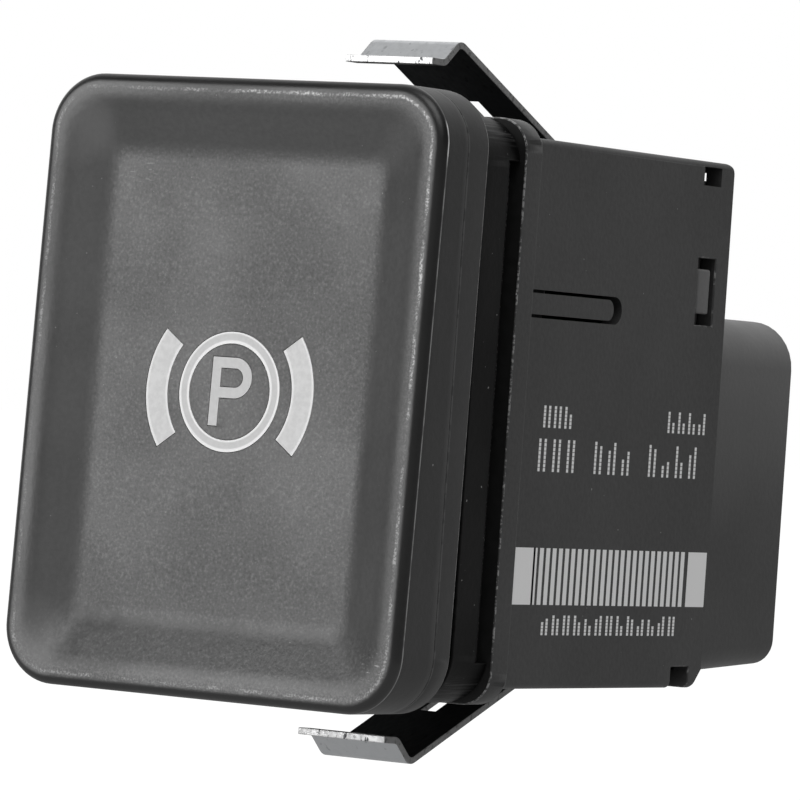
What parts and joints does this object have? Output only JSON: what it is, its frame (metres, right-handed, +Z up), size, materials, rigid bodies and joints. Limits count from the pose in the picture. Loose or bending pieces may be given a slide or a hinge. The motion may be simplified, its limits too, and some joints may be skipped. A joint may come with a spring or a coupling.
{
  "type": "electric parking brake switch",
  "caption": "Rectangular sprung push button with a dished cap and a lit parking brake symbol, in a boxed housing with spring clips and a rear connector.",
  "frame": {"origin": "middle of the housing collar's front face", "axes": "+X to the right seen from the front, +Y from the button back to the connector, +Z up"},
  "size_m": [0.0276, 0.0507, 0.0435],
  "materials": {
    "cap_plastic": "satin moulded, worn brighter along the rim",
    "symbol_plastic": "translucent light grey",
    "carrier_plastic": "satin moulded",
    "frame_plastic": "moulded, rubbed at the corners",
    "housing_plastic": "moulded, with a pale laser marked block",
    "base_plastic": "satin moulded",
    "natural_acetal": "natural, unpainted",
    "clear_plastic": "clear, polished",
    "board_laminate": "green solder resist",
    "switch_plastic": "moulded",
    "spring_steel": "drawn wire",
    "clip_steel": "rolled strip with bright sheared edges",
    "lamp_resin": "clear epoxy over a pale body",
    "resistor_ceramic": "fired ceramic",
    "tinned_brass": "tinned"
  },
  "bodies": {
    "housing": {"housing": "housing_plastic", "guide_frame": "frame_plastic", "rear_base": "base_plastic", "circuit_board": "board_laminate", "microswitch_left": "switch_plastic", "microswitch_right": "switch_plastic", "return_spring_upper": "spring_steel", "return_spring_lower": "spring_steel", "backlight_led": "lamp_resin", "signal_led": "lamp_resin", "chip_resistors": "resistor_ceramic", "terminals_left": "tinned_brass", "terminals_right": "tinned_brass"},
    "button": {"button_cap": "cap_plastic", "symbol_inlay": "symbol_plastic", "button_carrier": "carrier_plastic", "press_plate": "natural_acetal", "light_guide": "clear_plastic"},
    "left_plunger": {"plunger_left": "natural_acetal"},
    "right_plunger": {"plunger_right": "natural_acetal"},
    "upper_clip": {"clip_upper": "clip_steel"},
    "lower_clip": {"clip_lower": "clip_steel"}
  },
  "joints": [
    {"name": "button_press", "type": "slide", "parent": "housing", "child": "button", "axis": [0, 1, 0], "range_m": [0, 0.0017], "stiffness_N_per_m": 1500, "springref_m": -0.001, "deforming": ["return_spring_upper", "return_spring_lower"]},
    {"name": "left_plunger_press", "type": "slide", "parent": "housing", "child": "left_plunger", "axis": [0, 1, 0], "range_m": [0, 0.0017]},
    {"name": "right_plunger_press", "type": "slide", "parent": "housing", "child": "right_plunger", "axis": [0, 1, 0], "range_m": [0, 0.0017]},
    {"name": "upper_clip_flex", "type": "hinge", "parent": "housing", "child": "upper_clip", "pos_m": [0, 0.01984, 0.01613], "axis": [1, 0, 0], "range_deg": [0, 9], "stiffness_Nm_per_rad": 0.3},
    {"name": "lower_clip_flex", "type": "hinge", "parent": "housing", "child": "lower_clip", "pos_m": [0, 0.01984, -0.01613], "axis": [-1, 0, 0], "range_deg": [0, 9], "stiffness_Nm_per_rad": 0.3}
  ],
  "couplings": [
    {"joint": "left_plunger_press", "follows": "button_press", "ratio": 1},
    {"joint": "right_plunger_press", "follows": "button_press", "ratio": 1}
  ]
}
